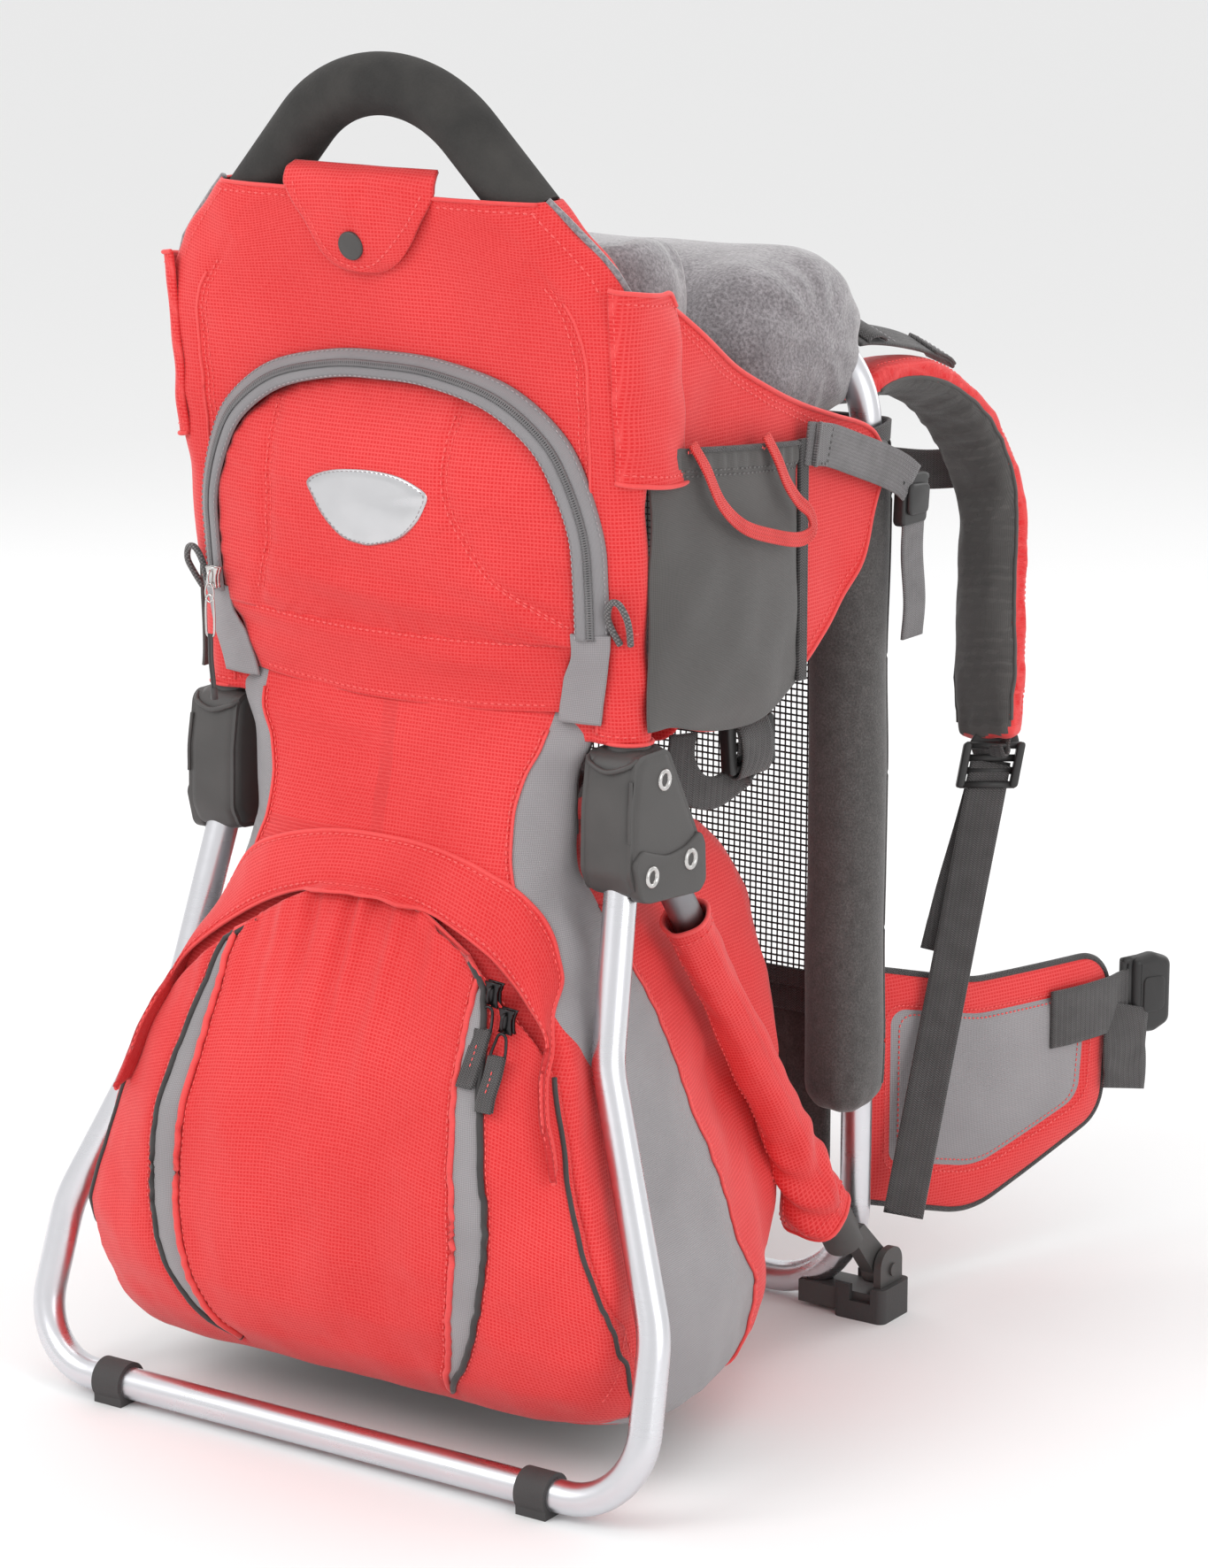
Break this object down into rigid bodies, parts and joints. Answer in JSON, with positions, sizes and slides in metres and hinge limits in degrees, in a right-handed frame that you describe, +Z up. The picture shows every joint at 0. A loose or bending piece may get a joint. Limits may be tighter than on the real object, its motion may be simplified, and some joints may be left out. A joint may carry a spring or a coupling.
{
  "type": "baby carrier backpack",
  "caption": "Framed child carrier worn on the back, with a fold-out stand, padded seat, handle, storage bags, shoulder straps and a hip belt.",
  "frame": {"origin": "on the ground, under the middle of the carrier's bounding box", "axes": "+X to the right seen from behind the child, +Y towards the wearer, +Z up"},
  "size_m": [0.4426, 0.6583, 0.7876],
  "materials": {
    "red_fabric": "ripstop weave",
    "dark_fabric": "close woven",
    "fleece": "short fleece",
    "mesh_fabric": "open mesh",
    "webbing": "ribbed webbing",
    "zip_tape": "woven tape",
    "foam": "matt foam",
    "silver_tube": "satin anodised",
    "grey_tube": "satin anodised, darker",
    "dark_plastic": "fine textured",
    "foot_rubber": "matt",
    "rivet_steel": "satin"
  },
  "bodies": {
    "back_frame": {"back_frame_tube": "silver_tube", "back_frame_top_tube": "silver_tube", "back_pad_right": "dark_fabric", "back_pad_left": "dark_fabric", "back_mesh": "mesh_fabric", "lumbar_pad": "dark_fabric", "shoulder_strap_right": "red_fabric", "shoulder_strap_left": "red_fabric", "strap_webbing_right": "webbing", "strap_webbing_left": "webbing", "strap_adjuster_right": "dark_plastic", "strap_adjuster_left": "dark_plastic", "load_lifters": "webbing", "sternum_webbing": "webbing", "sternum_buckle_socket": "dark_plastic", "sternum_buckle_clip": "dark_plastic", "front_pillow": "fleece", "foot_bracket_right": "dark_plastic", "foot_bracket_left": "dark_plastic", "foot_boot_right": "foot_rubber", "foot_boot_left": "foot_rubber", "cam_buckles": "dark_plastic"},
    "rear_frame": {"rear_frame_tube": "grey_tube", "handle_grip": "foam", "housing_outer_right": "dark_plastic", "housing_outer_left": "dark_plastic", "housing_inner_right": "dark_plastic", "housing_inner_left": "dark_plastic", "housing_rivets": "rivet_steel", "strut_foot_right": "dark_plastic", "strut_foot_left": "dark_plastic", "rear_panel": "red_fabric", "canopy_pocket": "red_fabric", "pocket_zip_tape": "zip_tape", "headrest": "fleece", "strut_sleeve_right": "red_fabric", "strut_sleeve_left": "red_fabric", "lower_bag": "red_fabric", "lower_pocket": "red_fabric", "child_seat": "dark_fabric", "child_harness": "webbing", "side_panel_right": "red_fabric", "side_panel_left": "red_fabric", "side_pocket_right": "dark_fabric", "side_pocket_left": "dark_fabric"},
    "stand": {"stand_tube": "silver_tube", "stand_glide_right": "dark_plastic", "stand_glide_left": "dark_plastic"},
    "hip_wing_right": {"hip_wing_right": "red_fabric", "hip_buckle_socket": "dark_plastic"},
    "hip_wing_left": {"hip_wing_left": "red_fabric", "hip_buckle_clip": "dark_plastic"},
    "closure_flap": {"closure_flap": "red_fabric", "snap_cap": "dark_plastic"},
    "pocket_slider": {"pocket_zip_slider": "rivet_steel"},
    "pocket_pull": {"pocket_zip_pull": "rivet_steel"},
    "bag_slider_inner": {"bag_slider_inner": "dark_plastic"},
    "bag_pull_inner": {"bag_pull_inner": "webbing"},
    "bag_slider_outer": {"bag_slider_outer": "dark_plastic"},
    "bag_pull_outer": {"bag_pull_outer": "webbing"}
  },
  "joints": [
    {"name": "frame_fold", "type": "hinge", "parent": "back_frame", "child": "rear_frame", "pos_m": [0, 0.0597, 0.031], "axis": [-1, 0, 0], "range_deg": [0, 9], "deforming": ["headrest"]},
    {"name": "stand_fold", "type": "hinge", "parent": "rear_frame", "child": "stand", "pos_m": [0, -0.2153, 0.345], "axis": [1, 0, 0], "range_deg": [0, 48]},
    {"name": "hip_wing_right_swing", "type": "hinge", "parent": "back_frame", "child": "hip_wing_right", "pos_m": [0.112, 0.0837, 0.125], "axis": [0, 0, 1], "range_deg": [-8, 38]},
    {"name": "hip_wing_left_swing", "type": "hinge", "parent": "back_frame", "child": "hip_wing_left", "pos_m": [-0.112, 0.0837, 0.125], "axis": [0, 0, -1], "range_deg": [-8, 38]},
    {"name": "flap_lift", "type": "hinge", "parent": "rear_frame", "child": "closure_flap", "pos_m": [0, -0.25298, 0.722], "axis": [-1, 0, 0], "range_deg": [0, 110]},
    {"name": "pocket_zip_slide", "type": "slide", "parent": "rear_frame", "child": "pocket_slider", "axis": [-0.172, -0.0901, 0.981], "range_m": [0, 0.03]},
    {"name": "pocket_pull_lift", "type": "hinge", "parent": "pocket_slider", "child": "pocket_pull", "pos_m": [-0.1235, -0.24345, 0.479], "axis": [-1, 0, 0], "range_deg": [0, 100]},
    {"name": "bag_zip_slide_inner", "type": "slide", "parent": "rear_frame", "child": "bag_slider_inner", "axis": [-0.9292, 0, 0.3697], "range_m": [0, 0.03]},
    {"name": "bag_pull_lift_inner", "type": "hinge", "parent": "bag_slider_inner", "child": "bag_pull_inner", "pos_m": [0.0975, -0.2857, 0.2735], "axis": [-1, 0, 0], "range_deg": [0, 100]},
    {"name": "bag_zip_slide_outer", "type": "slide", "parent": "rear_frame", "child": "bag_slider_outer", "axis": [0.7519, -0.1003, -0.6516], "range_m": [0, 0.03]},
    {"name": "bag_pull_lift_outer", "type": "hinge", "parent": "bag_slider_outer", "child": "bag_pull_outer", "pos_m": [0.1105, -0.2913, 0.2615], "axis": [-1, 0, 0], "range_deg": [0, 100]}
  ]
}
